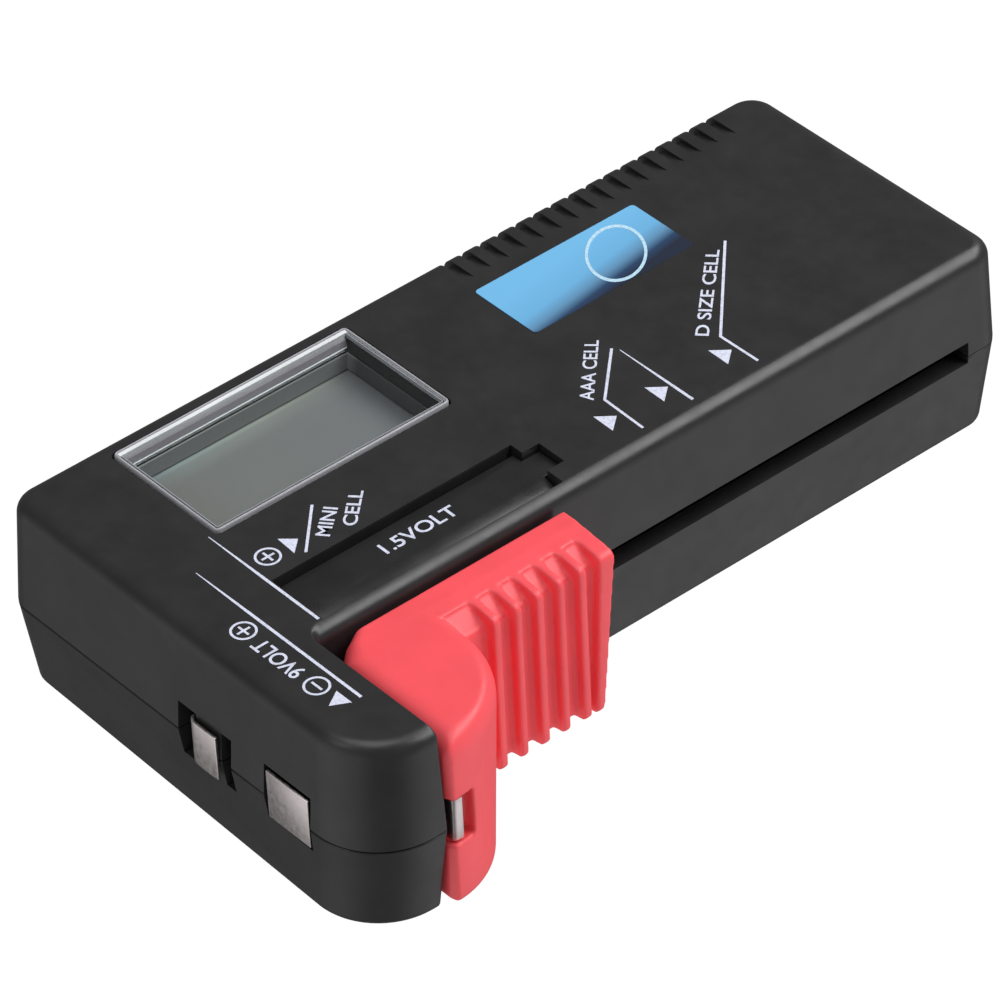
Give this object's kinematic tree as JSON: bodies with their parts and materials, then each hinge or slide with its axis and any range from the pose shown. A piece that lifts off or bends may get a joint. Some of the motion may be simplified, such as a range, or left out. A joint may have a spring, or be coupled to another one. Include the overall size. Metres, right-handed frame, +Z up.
{
  "type": "battery tester",
  "caption": "Handheld battery tester: a flat case with a display window, a fixed jaw and a spring-loaded red slider that clamps a cell against the jaw.",
  "frame": {"origin": "middle of the underside of the whole object, with the slider closed", "axes": "+X towards the slider's side, +Y from the jaw end to the far end of the case, +Z up through the display"},
  "size_m": [0.0621, 0.1104, 0.0256],
  "materials": {
    "black_abs": "black moulded ABS with a fine satin texture",
    "red_abs": "bright red moulded ABS, satin to gloss",
    "clear_window": "clear polished acrylic",
    "lcd_glass": "grey green liquid crystal panel behind a polariser",
    "frame_plastic": "light grey moulded plastic",
    "nickel_plate": "nickel plated sheet steel, slightly brushed",
    "spring_steel": "drawn spring steel wire",
    "zinc_screw": "bright zinc plated steel",
    "board_laminate": "green solder mask on laminate",
    "component_resin": "black resin and component bodies",
    "zebra_rubber": "pale silicone connector strip",
    "blue_label": "printed glossy sticker, sky blue fading to navy",
    "red_wire": "red insulated wire",
    "black_wire": "black insulated wire"
  },
  "bodies": {
    "case": {"top_shell": "black_abs", "bottom_shell": "black_abs", "inset_panel": "black_abs", "display_window": "clear_window", "display_frame": "frame_plastic", "lcd_panel": "lcd_glass", "lcd_backing": "frame_plastic", "zebra_connector": "zebra_rubber", "circuit_board": "board_laminate", "chip_blob": "component_resin", "electrolytic_capacitor": "component_resin", "boost_inductor": "component_resin", "switching_transistor": "component_resin", "rectifier_diode": "component_resin", "chip_resistor_1": "component_resin", "chip_resistor_2": "component_resin", "chip_resistor_3": "component_resin", "contact_9v_positive": "nickel_plate", "contact_9v_negative": "nickel_plate", "contact_jaw": "nickel_plate", "name_label": "blue_label", "spring_anchor": "nickel_plate", "anchor_screw": "zinc_screw", "return_spring": "spring_steel", "case_screw_near_left": "zinc_screw", "case_screw_jaw": "zinc_screw", "case_screw_far_left": "zinc_screw", "case_screw_far_right": "zinc_screw", "board_screw_near": "zinc_screw", "board_screw_far": "zinc_screw", "lead_9v_positive": "red_wire", "lead_9v_negative": "black_wire", "lead_jaw_contact": "black_wire", "lead_spring_anchor": "red_wire"},
    "slider": {"slider_arm": "red_abs", "contact_arm": "nickel_plate", "slider_shoe": "black_abs", "shoe_screw_front": "zinc_screw", "shoe_screw_rear": "zinc_screw", "slider_lead": "red_wire"}
  },
  "joints": [
    {"name": "slider_travel", "type": "slide", "parent": "case", "child": "slider", "axis": [0, 1, 0], "range_m": [0, 0.0625], "stiffness_N_per_m": 60, "springref_m": -0.025, "deforming": ["return_spring"]}
  ]
}
